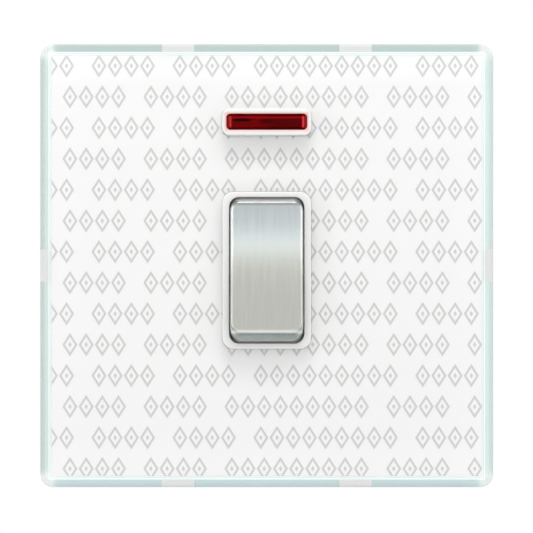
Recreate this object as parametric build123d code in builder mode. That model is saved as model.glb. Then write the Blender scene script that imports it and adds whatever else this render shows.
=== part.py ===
"""Double pole switch for one wall box: clear clip-on front, paper insert, rocker and neon.

Millimetres. X runs to the right, Z runs up and the front faces -Y.
The wall is the plane Y = 0, so an offset of Plane.XZ is a distance in front of the wall.
"""
import math
import os

from build123d import *

os.makedirs("parts", exist_ok=True)

# Front plate: clear moulding, solid at the face, open at the back
plate_width = 90.0
plate_height = 88.0
plate_depth = 7.0
plate_corner_radius = 2.6
plate_edge_radius = 0.6
plate_face_thickness = 3.0
plate_rim_thickness = 1.45
plate_bore_clearance = 0.1

# Six clips hold the plate to the steel frame
clip_notch_width = 6.4
clip_notch_bite = 1.0
clip_notch_depth = 2.4
clip_spacing = 35.2
clip_width = 5.8
clip_thickness = 1.0
clip_lift = 1.1
clip_tip_clearance = 0.2

# Paper insert, steel frame and foam gasket
paper_thickness = 0.2
paper_gap = 0.05
paper_clearance = 0.05
sheet_thickness = 1.2
frame_clearance = 0.35
frame_corner_radius = 1.6
gasket_thickness = 0.6
gasket_width = 4.2
fixing_spacing = 60.3
fixing_slot_width = 4.0
fixing_slot_length = 6.0
fixing_cup_radius = 6.2
window_clearance = 0.2
bead_length = 52.0
bead_width = 3.0
bead_depth = 0.8
bead_edge_distance = 3.8

# Rocker, its pivot and the opening around it
rocker_height = -0.9
pivot_depth = 2.4
rocker_rest_angle = 6.0
rocker_rise = 7.6
rocker_dish = 0.9
rocker_corner_radius = 2.0
rocker_edge_radius = 0.6
rocker_inner_edge_radius = 0.25
rocker_gap = 0.3
rocker_side_gap = 0.25
cap_thickness = 0.9
cap_skirt = -1.6
carrier_skirt = -1.0
carrier_wall = 1.2
carrier_rib_depth = 2.6
pin_radius = 1.0
pin_reach = 9.3
pin_end_gap = 0.2
pin_ear_radius = 2.0
running_clearance = 0.05
collar_width = 17.6
collar_height = 31.2
collar_end_wall = 1.16
collar_side_wall = 1.35
collar_corner_radius = 2.2
collar_proud = 0.3
collar_edge_radius = 0.25
ledge_height = 1.5
ledge_width = 3.05

# Spring plungers that tip the contact arms
pole_offset = 3.8
tower_radius = 2.35
tower_end = 7.5
plunger_radius = 1.65
plunger_reach = 14.85
plunger_length = 11.0
plunger_stem_radius = 0.75
plunger_stem_length = 2.0
spring_wire_radius = 0.2
spring_coil_radius = 1.25
spring_turns = 7

# Contact arms, each rocking on a brass ridge
arm_hinge_depth = 13.8
arm_rest_angle = 4.5
arm_width = 4.8
arm_half_length = 9.6
arm_front = 1.2
arm_back = 0.2
ridge_radius = 0.6
ridge_neck = 0.7
tip_radius = 1.5
tip_rise = 0.6
tip_distance = 8.0
fixed_tip_rise = 0.4
heel_stop_radius = 1.2
heel_stop_rise = 0.95

# Brass strips and clamp terminals
strip_front = 15.5
strip_thickness = 1.0
strip_gap_low = 2.0
strip_gap_high = 5.5
terminal_offset = 8.0
terminal_width = 8.0
terminal_near = 12.0
terminal_length = 8.0
terminal_front = 9.0
cable_bore_radius = 2.25
cable_bore_depth = 11.9
clamp_screw_radius = 1.5
clamp_screw_tip = 14.35
clamp_screw_seat = 17.6
clamp_head_radius = 2.3
clamp_head_height = 1.6
clamp_head_edge = 0.3
screw_slot_width = 0.8
screw_slot_depth = 0.8

# Front and rear mouldings
flange_half_width = 23.0
flange_top = 33.0
block_half_width = 11.0
block_margin = 1.8
rear_half_width = 14.5
rear_depth = 20.0
rear_corner_radius = 1.5
end_plate_thickness = 1.5
window_lead_in = 0.5
rear_flange_thickness = 3.0
rear_flange_half_height = 19.0
chamber_inner = 1.0
chamber_outer = 7.2
pocket_clearance = 0.1
cable_window_radius = 2.8
driver_well_radius = 2.6
well_lead_in = 0.4
barrier_thickness = 1.6
barrier_reach = 2.6
rear_edge_radius = 0.6
hold_post_width = 2.0
hold_post_offset = 10.8
hold_post_length = 6.0
assembly_screw_offset = 19.0
assembly_screw_spacing = 26.0
assembly_screw_radius = 1.4
assembly_head_radius = 2.5
assembly_head_height = 1.7

# Neon indicator
neon_height = 28.5
neon_collar_width = 17.7
neon_collar_height = 5.26
neon_collar_radius = 1.5
neon_collar_front = 8.2
lens_width = 15.9
lens_height = 3.08
lens_corner_radius = 0.8
lens_front = 8.0
lens_bevel = 0.5
lens_flange_width = 17.4
lens_flange_height = 4.4
lens_flange_thickness = 0.8
lens_recess = 0.6
neon_cavity_width = 19.0
neon_cavity_height = 6.4
neon_cavity_depth = 1.5
cover_width = 23.0
cover_height = 8.6
cover_depth = 8.4
cover_wall = 1.2
cover_ear_reach = 3.6
cover_ear_height = 5.0
cover_ear_thickness = 1.4
stud_radius = 0.9
stud_head_radius = 1.5
stud_head_height = 0.6
lamp_radius = 2.0
lamp_length = 9.0
lamp_depth = 2.3
lamp_wall = 0.3
electrode_radius = 0.35
electrode_spacing = 1.5
resistor_radius = 0.95
resistor_length = 3.6
resistor_depth = 5.8
lead_radius = 0.3
lead_bend = 0.5
lead_rise = 0.9
lead_slot_width = 1.2

# Earth terminal on the back of the frame
earth_gap = 1.5
earth_height = -19.5
earth_width = 8.0
earth_length = 8.0
earth_back = 6.4
earth_bore_radius = 2.25
earth_bore_depth = 2.45
earth_screw_tip = 4.9
earth_screw_seat = 8.1

# Derived positions, measured in front of the wall
pocket_front = plate_depth - plate_face_thickness
pocket_width = plate_width - 2 * plate_rim_thickness
pocket_height = plate_height - 2 * plate_rim_thickness
frame_front = pocket_front - paper_gap - paper_thickness
frame_back = frame_front - sheet_thickness
frame_width = pocket_width - 2 * frame_clearance
frame_height = pocket_height - 2 * frame_clearance
collar_front = plate_depth + collar_proud
well_radius = math.hypot(collar_height / 2 - collar_end_wall, collar_front - pivot_depth)
well_half_width = collar_width / 2 - collar_side_wall
rocker_end_radius = well_radius - rocker_gap
rocker_half_width = well_half_width - rocker_side_gap
ledge_half_span = well_radius - ledge_width
block_half_height = collar_height / 2 + block_margin
face_half_length = math.sqrt(rocker_end_radius**2 - rocker_rise**2)
carrier_floor = rocker_dish + cap_thickness + carrier_wall - rocker_rise
cavity_half_width = rocker_half_width - cap_thickness - carrier_wall
cavity_half_length = face_half_length - carrier_wall
lead_slot_end = resistor_depth + lead_slot_width / 2
strip_back = strip_front + strip_thickness
terminal_pitch = 2 * terminal_near + terminal_length
pocket_end = terminal_near + terminal_length + pocket_clearance
rear_half_height = pocket_end + end_plate_thickness
earth_offset = flange_half_width + earth_gap + earth_width / 2
rest = math.radians(rocker_rest_angle)
arm_tilt = math.radians(arm_rest_angle)

rocker_centre = (0, rocker_height)
neon_centre = (0, neon_height)
fixing_places = [(fixing_spacing / 2, 0), (-fixing_spacing / 2, 0)]
side_bead_offset = frame_width / 2 - bead_edge_distance
end_bead_offset = frame_height / 2 - bead_edge_distance
cover_ear_span = cover_width + cover_ear_reach
assembly_places = [
    (x, rocker_height + z)
    for x in (assembly_screw_offset, -assembly_screw_offset)
    for z in (assembly_screw_spacing / 2, -assembly_screw_spacing / 2)
]
end_clips = [
    (x, z)
    for x in (clip_spacing / 2, -clip_spacing / 2)
    for z in (pocket_height / 2, -pocket_height / 2)
]
side_clips = [(pocket_width / 2, 0), (-pocket_width / 2, 0)]

# The rocker's own planes: one seen from the side, one square to its axis, both tilted at rest
pivot_side = Plane(origin=(0, -pivot_depth, rocker_height), x_dir=(0, 1, 0), z_dir=(1, 0, 0))
rocker_side = Plane(
    origin=(0, -pivot_depth, rocker_height),
    x_dir=(0, math.cos(rest), -math.sin(rest)),
    z_dir=(1, 0, 0),
)
rocker_deck = Plane(
    origin=(0, -pivot_depth, rocker_height),
    x_dir=(1, 0, 0),
    z_dir=(0, math.cos(rest), -math.sin(rest)),
)
arm_side = Plane(
    origin=(0, arm_hinge_depth, rocker_height),
    x_dir=(0, math.cos(arm_tilt), math.sin(arm_tilt)),
    z_dir=(1, 0, 0),
)
arm_deck = Plane(
    origin=(0, arm_hinge_depth, rocker_height),
    x_dir=(1, 0, 0),
    z_dir=(0, math.cos(arm_tilt), math.sin(arm_tilt)),
)
strip_side = Plane(origin=(0, arm_hinge_depth, rocker_height), x_dir=(0, 1, 0), z_dir=(1, 0, 0))


# Clear front plate
with BuildPart() as front_plate:
    with BuildSketch(Plane.XZ):
        RectangleRounded(plate_width, plate_height, plate_corner_radius)
    extrude(amount=plate_depth)
    fillet(front_plate.faces().sort_by(Axis.Y)[0].edges(), plate_edge_radius)
    with BuildSketch(Plane.XZ):
        Rectangle(pocket_width, pocket_height)
    extrude(amount=pocket_front, mode=Mode.SUBTRACT)
    with BuildSketch(Plane.XZ):
        with Locations(rocker_centre):
            RectangleRounded(
                collar_width + 2 * plate_bore_clearance,
                collar_height + 2 * plate_bore_clearance,
                collar_corner_radius,
            )
        with Locations(neon_centre):
            RectangleRounded(
                neon_collar_width + 2 * plate_bore_clearance,
                neon_collar_height + 2 * plate_bore_clearance,
                neon_collar_radius,
            )
    extrude(amount=plate_depth, mode=Mode.SUBTRACT)
    with BuildSketch(Plane.XZ):
        with Locations(*end_clips):
            Rectangle(clip_notch_width, 2 * clip_notch_bite)
        with Locations(*side_clips):
            Rectangle(2 * clip_notch_bite, clip_notch_width)
    extrude(amount=clip_notch_depth, mode=Mode.SUBTRACT)
front_plate.part.label = "front_plate"
export_step(front_plate.part, "parts/front_plate.step")


# Printed paper insert, seen through the plate
with BuildPart() as wallpaper_insert:
    with BuildSketch(Plane.XZ.offset(frame_front)):
        Rectangle(pocket_width - 2 * paper_clearance, pocket_height - 2 * paper_clearance)
        with Locations(rocker_centre):
            RectangleRounded(
                collar_width + 2 * paper_clearance,
                collar_height + 2 * paper_clearance,
                collar_corner_radius,
                mode=Mode.SUBTRACT,
            )
        with Locations(neon_centre):
            RectangleRounded(
                neon_collar_width + 2 * paper_clearance,
                neon_collar_height + 2 * paper_clearance,
                neon_collar_radius,
                mode=Mode.SUBTRACT,
            )
    extrude(amount=paper_thickness)
wallpaper_insert.part.label = "wallpaper_insert"
export_step(wallpaper_insert.part, "parts/wallpaper_insert.step")


# Pressed steel frame: shallow tray with four beads, two fixing cups, windows and six clips
with BuildPart() as mounting_frame:
    with BuildSketch(Plane.XZ.offset(gasket_thickness)):
        RectangleRounded(frame_width, frame_height, frame_corner_radius)
    extrude(amount=frame_front - gasket_thickness)
    fillet(mounting_frame.faces().sort_by(Axis.Y)[0].edges(), sheet_thickness / 2)
    with BuildSketch(Plane.XZ.offset(gasket_thickness)):
        RectangleRounded(
            frame_width - 2 * sheet_thickness,
            frame_height - 2 * sheet_thickness,
            frame_corner_radius - sheet_thickness,
        )
    extrude(amount=frame_back - gasket_thickness, mode=Mode.SUBTRACT)
    with BuildSketch(Plane.XZ.offset(frame_back)):
        with GridLocations(2 * side_bead_offset, 1, 2, 1):
            SlotOverall(bead_length, bead_width, rotation=90)
        with GridLocations(1, 2 * end_bead_offset, 1, 2):
            SlotOverall(bead_length, bead_width)
    extrude(amount=-bead_depth)
    with BuildSketch(Plane.XZ.offset(frame_front)):
        with GridLocations(2 * side_bead_offset, 1, 2, 1):
            SlotOverall(bead_length - sheet_thickness, bead_width - sheet_thickness, rotation=90)
        with GridLocations(1, 2 * end_bead_offset, 1, 2):
            SlotOverall(bead_length - sheet_thickness, bead_width - sheet_thickness)
    extrude(amount=-bead_depth, mode=Mode.SUBTRACT)
    with BuildSketch(Plane.XZ):
        with Locations(*fixing_places):
            Circle(fixing_cup_radius)
    extrude(amount=frame_back)
    with BuildSketch(Plane.XZ.offset(sheet_thickness)):
        with Locations(*fixing_places):
            Circle(fixing_cup_radius - sheet_thickness)
    extrude(amount=frame_front, mode=Mode.SUBTRACT)
    with BuildSketch(Plane.XZ):
        with Locations(*fixing_places):
            SlotOverall(fixing_slot_length, fixing_slot_width)
    extrude(amount=frame_front, mode=Mode.SUBTRACT)
    with BuildSketch(Plane.XZ):
        with Locations(rocker_centre):
            Rectangle(
                2 * (block_half_width + window_clearance),
                2 * (block_half_height + window_clearance),
            )
        with Locations(neon_centre):
            Rectangle(
                neon_collar_width + 2 * window_clearance,
                neon_collar_height + 2 * window_clearance,
            )
        with Locations(*assembly_places):
            Circle(assembly_screw_radius + running_clearance)
    extrude(amount=frame_front, mode=Mode.SUBTRACT)
    with BuildSketch(Plane.XZ.offset(clip_lift)):
        with Locations(*end_clips):
            Rectangle(clip_width, 2 * (clip_notch_bite - clip_tip_clearance))
        with Locations(*side_clips):
            Rectangle(2 * (clip_notch_bite - clip_tip_clearance), clip_width)
    extrude(amount=clip_thickness)
mounting_frame.part.label = "mounting_frame"
export_step(mounting_frame.part, "parts/mounting_frame.step")


# Foam gasket between the frame and the wall
with BuildPart() as wall_gasket:
    with BuildSketch(Plane.XZ):
        RectangleRounded(frame_width, frame_height, frame_corner_radius)
        RectangleRounded(
            frame_width - 2 * gasket_width,
            frame_height - 2 * gasket_width,
            frame_corner_radius,
            mode=Mode.SUBTRACT,
        )
    extrude(amount=gasket_thickness)
wall_gasket.part.label = "wall_gasket"
export_step(wall_gasket.part, "parts/wall_gasket.step")


# Space the rocker swings in, swept round its pivot
with BuildPart() as rocker_well:
    with BuildSketch(pivot_side):
        Circle(well_radius)
    extrude(amount=well_half_width, both=True)
    fillet(rocker_well.edges().filter_by(GeomType.CIRCLE), rocker_corner_radius)
    split(bisect_by=Plane.XZ.offset(ledge_height), keep=Keep.TOP)


# Front moulding: collars for rocker and neon, pivot sockets, the flange behind the frame,
# posts that hold the terminals back and two headed studs for the lamp cover
with BuildPart() as front_housing:
    with BuildSketch(Plane.XZ):
        with Locations((0, (flange_top + rocker_height - rear_half_height) / 2)):
            RectangleRounded(
                2 * flange_half_width,
                flange_top - rocker_height + rear_half_height,
                rear_corner_radius,
            )
    extrude(amount=frame_back)
    with BuildSketch(Plane.XZ):
        with Locations(rocker_centre):
            Rectangle(2 * block_half_width, 2 * block_half_height)
    extrude(amount=frame_front)
    with BuildSketch(Plane.XZ):
        with Locations(rocker_centre):
            RectangleRounded(collar_width, collar_height, collar_corner_radius)
    extrude(amount=collar_front)
    with BuildSketch(Plane.XZ):
        with Locations(neon_centre):
            RectangleRounded(neon_collar_width, neon_collar_height, neon_collar_radius)
    extrude(amount=neon_collar_front)
    add(rocker_well.part, mode=Mode.SUBTRACT)
    with BuildSketch(Plane.XZ):
        with Locations(rocker_centre):
            Rectangle(2 * well_half_width, 2 * ledge_half_span)
    extrude(amount=pivot_depth, mode=Mode.SUBTRACT)
    with BuildSketch(pivot_side):
        Circle(pin_radius + running_clearance)
    extrude(amount=pin_reach + pin_end_gap, both=True, mode=Mode.SUBTRACT)
    with BuildSketch(Plane.XZ):
        with Locations(neon_centre):
            RectangleRounded(
                lens_width + 2 * running_clearance,
                lens_height + 2 * running_clearance,
                lens_corner_radius,
            )
    extrude(amount=neon_collar_front, mode=Mode.SUBTRACT)
    with BuildSketch(Plane.XZ):
        with Locations(neon_centre):
            Rectangle(neon_cavity_width, neon_cavity_height)
    extrude(amount=neon_cavity_depth, mode=Mode.SUBTRACT)
    with BuildSketch(Plane.XZ):
        with Locations(*assembly_places):
            Circle(assembly_screw_radius + running_clearance)
    extrude(amount=frame_back, mode=Mode.SUBTRACT)
    with BuildSketch(Plane.XZ):
        with Locations(rocker_centre):
            with GridLocations(2 * hold_post_offset, terminal_pitch, 2, 2):
                Rectangle(hold_post_width, hold_post_length)
    extrude(amount=-terminal_front)
    with BuildSketch(Plane.XZ):
        with Locations(neon_centre):
            with GridLocations(cover_ear_span, 1, 2, 1):
                Circle(stud_radius)
    extrude(amount=-cover_ear_thickness)
    with BuildSketch(Plane.XZ.offset(-cover_ear_thickness)):
        with Locations(neon_centre):
            with GridLocations(cover_ear_span, 1, 2, 1):
                Circle(stud_head_radius)
    extrude(amount=-stud_head_height)
    for level in (0, 1):
        collar_face = front_housing.faces().filter_by(Axis.Y).group_by(Axis.Y)[level]
        fillet(collar_face.edges(), collar_edge_radius)
front_housing.part.label = "front_housing"
export_step(front_housing.part, "parts/front_housing.step")


# Rear moulding: flange, contact chambers, terminal pockets open at both ends, and screw wells
with BuildPart() as rear_housing:
    with BuildSketch(Plane.XZ):
        with Locations(rocker_centre):
            RectangleRounded(
                2 * flange_half_width, 2 * rear_flange_half_height, rear_corner_radius
            )
    extrude(amount=-rear_flange_thickness)
    with BuildSketch(Plane.XZ):
        with Locations(rocker_centre):
            Rectangle(2 * rear_half_width, 2 * pocket_end)
    extrude(amount=-rear_depth)
    fillet(
        rear_housing.faces().sort_by(Axis.Y)[-1].edges().filter_by(Axis.Z), rear_edge_radius
    )
    with BuildSketch(Plane.XZ):
        with Locations(rocker_centre):
            with GridLocations(chamber_inner + chamber_outer, 1, 2, 1):
                Rectangle(chamber_outer - chamber_inner, 2 * pocket_end)
            with GridLocations(2 * terminal_offset, terminal_pitch, 2, 2):
                Rectangle(
                    terminal_width + 2 * pocket_clearance,
                    terminal_length + 2 * pocket_clearance,
                )
    extrude(amount=-strip_back, mode=Mode.SUBTRACT)
    with BuildSketch(Plane.XZ.offset(-strip_back)):
        with Locations(rocker_centre):
            with GridLocations(2 * terminal_offset, terminal_pitch, 2, 2):
                Circle(driver_well_radius)
    extrude(amount=-rear_depth + strip_back, mode=Mode.SUBTRACT)
    chamfer(
        rear_housing.faces().sort_by(Axis.Y)[-1].edges().filter_by(GeomType.CIRCLE),
        well_lead_in,
    )
    with BuildSketch(Plane.XZ):
        with Locations(*assembly_places):
            Circle(assembly_screw_radius + running_clearance)
    extrude(amount=-rear_flange_thickness, mode=Mode.SUBTRACT)
rear_housing.part.label = "rear_housing"
export_step(rear_housing.part, "parts/rear_housing.step")


# End plates closing the pockets, each with two cable windows and a rib between the poles
for role, end in (("supply", -1), ("load", 1)):
    with BuildPart() as end_plate:
        with BuildSketch(Plane.XZ):
            with Locations((0, rocker_height + end * (pocket_end + end_plate_thickness / 2))):
                Rectangle(2 * rear_half_width, end_plate_thickness)
        extrude(amount=-rear_depth)
        fillet(
            end_plate.faces().sort_by(Axis.Z, reverse=end > 0)[0].edges(), rear_edge_radius
        )
        with BuildSketch(Plane.XZ):
            with Locations((0, rocker_height + end * (rear_half_height + barrier_reach / 2))):
                Rectangle(barrier_thickness, barrier_reach)
        extrude(amount=-rear_depth + rear_flange_thickness)
        with BuildSketch(Plane.XY.offset(rocker_height)):
            with Locations((0, cable_bore_depth)):
                with GridLocations(2 * terminal_offset, 1, 2, 1):
                    Circle(cable_window_radius)
        extrude(amount=end * 2 * rear_half_height, mode=Mode.SUBTRACT)
        chamfer(
            end_plate.edges()
            .filter_by(GeomType.CIRCLE)
            .sort_by(Axis.Z, reverse=end > 0)[:2],
            window_lead_in,
        )
        if role == "load":
            with BuildSketch(Plane.XY.offset(rocker_height)):
                with Locations((0, lead_slot_end / 2)):
                    with GridLocations(2 * terminal_offset, 1, 2, 1):
                        Rectangle(lead_slot_width, lead_slot_end)
            extrude(amount=2 * rear_half_height, mode=Mode.SUBTRACT)
    end_plate.part.label = f"{role}_end_plate"
    export_step(end_plate.part, f"parts/{role}_end_plate.step")


# Four screws clamp rear moulding, front moulding and frame together
with BuildPart() as housing_screws:
    with BuildSketch(Plane.XZ.offset(-rear_flange_thickness)):
        with Locations(*assembly_places):
            Circle(assembly_screw_radius)
    extrude(amount=rear_flange_thickness + frame_front)
    with BuildSketch(Plane.XZ.offset(-rear_flange_thickness)):
        with Locations(*assembly_places):
            Circle(assembly_head_radius)
    extrude(amount=-assembly_head_height)
    fillet(
        housing_screws.faces()
        .filter_by(Axis.Y)
        .filter_by(lambda face: face.center().Y > rear_flange_thickness + assembly_head_height / 2)
        .edges(),
        assembly_head_height / 3,
    )
    with BuildSketch(Plane.XZ.offset(-rear_flange_thickness - assembly_head_height)):
        with Locations(*assembly_places):
            Rectangle(2 * assembly_screw_radius, screw_slot_width)
            Rectangle(screw_slot_width, 2 * assembly_screw_radius)
    extrude(amount=screw_slot_depth, mode=Mode.SUBTRACT)
housing_screws.part.label = "housing_screws"
export_step(housing_screws.part, "parts/housing_screws.step")


# Red neon lens, held from behind by its own flange
with BuildPart() as neon_lens:
    with BuildSketch(Plane.XZ.offset(neon_cavity_depth - lens_flange_thickness)):
        with Locations(neon_centre):
            RectangleRounded(lens_flange_width, lens_flange_height, lens_corner_radius)
    extrude(amount=lens_flange_thickness)
    with BuildSketch(Plane.XZ.offset(neon_cavity_depth)):
        with Locations(neon_centre):
            RectangleRounded(lens_width, lens_height, lens_corner_radius)
    extrude(amount=lens_front - neon_cavity_depth)
    chamfer(neon_lens.faces().sort_by(Axis.Y)[0].edges(), lens_bevel)
    with BuildSketch(Plane.XZ):
        with Locations(neon_centre):
            RectangleRounded(
                lens_width - 2 * lens_recess, lens_height - 2 * lens_recess, lens_recess
            )
    extrude(amount=lens_front - 2 * lens_recess, mode=Mode.SUBTRACT)
neon_lens.part.label = "neon_lens"
export_step(neon_lens.part, "parts/neon_lens.step")


# Glass envelope of the neon lamp, lying across the back of the lens
with BuildPart() as neon_lamp:
    with BuildSketch(Plane.YZ):
        with Locations((lamp_depth, neon_height)):
            Circle(lamp_radius)
    extrude(amount=lamp_length / 2, both=True)
    fillet(neon_lamp.edges().filter_by(GeomType.CIRCLE), lamp_radius / 2)
    with BuildSketch(Plane.YZ):
        with Locations((lamp_depth, neon_height)):
            Circle(lamp_radius - lamp_wall)
    extrude(amount=lamp_length / 2 - 2 * lamp_wall, both=True, mode=Mode.SUBTRACT)
neon_lamp.part.label = "neon_lamp"
export_step(neon_lamp.part, "parts/neon_lamp.step")


# Pair of electrodes inside the envelope
with BuildPart() as neon_electrodes:
    with BuildSketch(Plane.YZ):
        with Locations((lamp_depth, neon_height)):
            with GridLocations(1, electrode_spacing, 1, 2):
                Circle(electrode_radius)
    extrude(amount=lamp_length / 2 - 3 * lamp_wall, both=True)
neon_electrodes.part.label = "neon_electrodes"
export_step(neon_electrodes.part, "parts/neon_electrodes.step")


# Series resistor, standing beside the lamp in the neutral lead
with BuildPart() as neon_resistor:
    with BuildSketch(Plane.XY.offset(neon_height)):
        with Locations((terminal_offset, resistor_depth)):
            Circle(resistor_radius)
    extrude(amount=resistor_length / 2, both=True)
    fillet(neon_resistor.edges().filter_by(GeomType.CIRCLE), resistor_radius / 3)
neon_resistor.part.label = "neon_resistor"
export_step(neon_resistor.part, "parts/neon_resistor.step")


# Rear cover of the lamp chamber, slotted for the two leads, with an ear at each side
with BuildPart() as neon_cover:
    with BuildSketch(Plane.XZ):
        with Locations(neon_centre):
            RectangleRounded(cover_width, cover_height, rear_corner_radius)
    extrude(amount=-cover_depth)
    fillet(neon_cover.faces().sort_by(Axis.Y)[-1].edges(), cover_wall / 2)
    with BuildSketch(Plane.XZ):
        with Locations(neon_centre):
            RectangleRounded(
                cover_width + 2 * cover_ear_reach, cover_ear_height, rear_corner_radius
            )
            with GridLocations(cover_ear_span, 1, 2, 1):
                Circle(stud_radius + running_clearance, mode=Mode.SUBTRACT)
    extrude(amount=-cover_ear_thickness)
    with BuildSketch(Plane.XZ):
        with Locations(neon_centre):
            Rectangle(cover_width - 2 * cover_wall, cover_height - 2 * cover_wall)
    extrude(amount=-cover_depth + cover_wall, mode=Mode.SUBTRACT)
    with BuildSketch(Plane.XY.offset(neon_height - cover_height)):
        with Locations((0, lead_slot_end / 2)):
            with GridLocations(2 * terminal_offset, 1, 2, 1):
                Rectangle(lead_slot_width, lead_slot_end)
    extrude(amount=cover_height - 2 * cover_wall, mode=Mode.SUBTRACT)
neon_cover.part.label = "neon_cover"
export_step(neon_cover.part, "parts/neon_cover.step")


# Leads: from the lamp to the resistor, and from each side down to its load terminal
lamp_end = lamp_length / 2
resistor_end = resistor_length / 2
load_middle = rocker_height + terminal_pitch / 2
lead_routes = [
    [
        (-lamp_end, lamp_depth, neon_height),
        (-terminal_offset, lamp_depth, neon_height),
        (-terminal_offset, resistor_depth, neon_height),
        (-terminal_offset, resistor_depth, load_middle),
        (-terminal_offset, terminal_front, load_middle),
    ],
    [
        (lamp_end, lamp_depth, neon_height),
        (terminal_offset, lamp_depth, neon_height),
        (terminal_offset, lamp_depth, neon_height + resistor_end + lead_rise),
        (terminal_offset, resistor_depth, neon_height + resistor_end + lead_rise),
        (terminal_offset, resistor_depth, neon_height + resistor_end),
    ],
    [
        (terminal_offset, resistor_depth, neon_height - resistor_end),
        (terminal_offset, resistor_depth, load_middle),
        (terminal_offset, terminal_front, load_middle),
    ],
]
with BuildPart() as neon_leads:
    for route in lead_routes:
        with BuildLine() as lead_path:
            FilletPolyline(*route, radius=lead_bend)
        with BuildSketch(Plane(lead_path.line @ 0, z_dir=lead_path.line % 0)):
            Circle(lead_radius)
        sweep(path=lead_path.line)
neon_leads.part.label = "neon_leads"
export_step(neon_leads.part, "parts/neon_leads.step")


# Terminal blocks and contact strips: a supply pair below and a load pair above, for each pole
strip_inner = pole_offset - arm_width / 2
strip_outer = pole_offset + arm_width / 2
strip_far = terminal_offset + terminal_width / 2
strip_end = terminal_near + terminal_length
for pole, side in (("line", -1), ("neutral", 1)):
    for role, end, start in (("supply", -1, -strip_gap_low), ("load", 1, strip_gap_high)):
        screw_place = (side * terminal_offset, rocker_height + end * terminal_pitch / 2)
        with BuildPart() as terminal:
            with BuildSketch(Plane.XZ.offset(-strip_front)):
                with Locations(screw_place):
                    Rectangle(terminal_width, terminal_length)
            extrude(amount=strip_front - terminal_front)
            fillet(terminal.edges().filter_by(Axis.Y), sheet_thickness / 2)
            with BuildSketch(Plane.XY.offset(rocker_height)):
                with Locations((side * terminal_offset, cable_bore_depth)):
                    Circle(cable_bore_radius)
            extrude(amount=end * terminal_pitch, mode=Mode.SUBTRACT)
            with BuildSketch(Plane.XZ.offset(-strip_front)):
                with Locations(screw_place):
                    Circle(clamp_screw_radius + running_clearance)
            extrude(amount=strip_front - cable_bore_depth, mode=Mode.SUBTRACT)
        terminal.part.label = f"{role}_terminal_{pole}"
        export_step(terminal.part, f"parts/{role}_terminal_{pole}.step")

        outline = [
            (strip_inner, start),
            (strip_outer, start),
            (strip_outer, terminal_near),
            (strip_far, terminal_near),
            (strip_far, strip_end),
            (strip_inner, strip_end),
        ]
        with BuildPart() as strip:
            with BuildSketch(Plane.XZ.offset(-strip_back)):
                with BuildLine():
                    Polyline(
                        *[(side * x, rocker_height + end * z) for x, z in outline], close=True
                    )
                make_face()
                with Locations(screw_place):
                    Circle(clamp_screw_radius + running_clearance, mode=Mode.SUBTRACT)
            extrude(amount=strip_thickness)
            if role == "supply":
                with BuildSketch(strip_side.offset(side * pole_offset)):
                    Circle(ridge_radius)
                    with Locations(((strip_front - arm_hinge_depth) / 2, 0)):
                        Rectangle(strip_front - arm_hinge_depth, ridge_neck)
                extrude(amount=arm_width / 2, both=True)
                with BuildSketch(Plane.XZ.offset(-strip_front)):
                    with Locations((side * pole_offset, rocker_height - tip_distance)):
                        Circle(heel_stop_radius)
                extrude(amount=heel_stop_rise)
        strip.part.label = f"{role}_strip_{pole}"
        export_step(strip.part, f"parts/{role}_strip_{pole}.step")


# Silver faces of the two fixed contacts
with BuildPart() as fixed_contact_tips:
    with BuildSketch(Plane.XZ.offset(-strip_front)):
        with Locations((0, rocker_height + tip_distance)):
            with GridLocations(2 * pole_offset, 1, 2, 1):
                Circle(tip_radius)
    extrude(amount=fixed_tip_rise)
fixed_contact_tips.part.label = "fixed_contact_tips"
export_step(fixed_contact_tips.part, "parts/fixed_contact_tips.step")


# Clamp screws of the four terminals, backed out so the cable bores are clear
with BuildPart() as terminal_screws:
    with BuildSketch(Plane.XZ.offset(-clamp_screw_tip)):
        with Locations(rocker_centre):
            with GridLocations(2 * terminal_offset, terminal_pitch, 2, 2):
                Circle(clamp_screw_radius)
    extrude(amount=clamp_screw_tip - clamp_screw_seat)
    with BuildSketch(Plane.XZ.offset(-clamp_screw_seat)):
        with Locations(rocker_centre):
            with GridLocations(2 * terminal_offset, terminal_pitch, 2, 2):
                Circle(clamp_head_radius)
    extrude(amount=-clamp_head_height)
    fillet(
        terminal_screws.faces().filter_by(Axis.Y).group_by(Axis.Y)[-1].edges(), clamp_head_edge
    )
    with BuildSketch(Plane.XZ.offset(-clamp_screw_seat - clamp_head_height)):
        with Locations(rocker_centre):
            with GridLocations(2 * terminal_offset, terminal_pitch, 2, 2):
                Rectangle(2 * clamp_head_radius, screw_slot_width)
    extrude(amount=screw_slot_depth, mode=Mode.SUBTRACT)
terminal_screws.part.label = "terminal_screws"
export_step(terminal_screws.part, "parts/terminal_screws.step")


# Earth terminal, riveted behind the steel frame, and its screw
with BuildPart() as earth_terminal:
    with BuildSketch(Plane.XZ.offset(frame_back)):
        with Locations((earth_offset, earth_height)):
            Rectangle(earth_width, earth_length)
    extrude(amount=-frame_back - earth_back)
    fillet(earth_terminal.edges().filter_by(Axis.Y), sheet_thickness / 2)
    with BuildSketch(Plane.XY.offset(earth_height)):
        with Locations((earth_offset, earth_bore_depth)):
            Circle(earth_bore_radius)
    extrude(amount=earth_length, both=True, mode=Mode.SUBTRACT)
    with BuildSketch(Plane.XZ.offset(-earth_back)):
        with Locations((earth_offset, earth_height)):
            Circle(clamp_screw_radius + running_clearance)
    extrude(amount=earth_back - earth_bore_depth, mode=Mode.SUBTRACT)
earth_terminal.part.label = "earth_terminal"
export_step(earth_terminal.part, "parts/earth_terminal.step")

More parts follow.
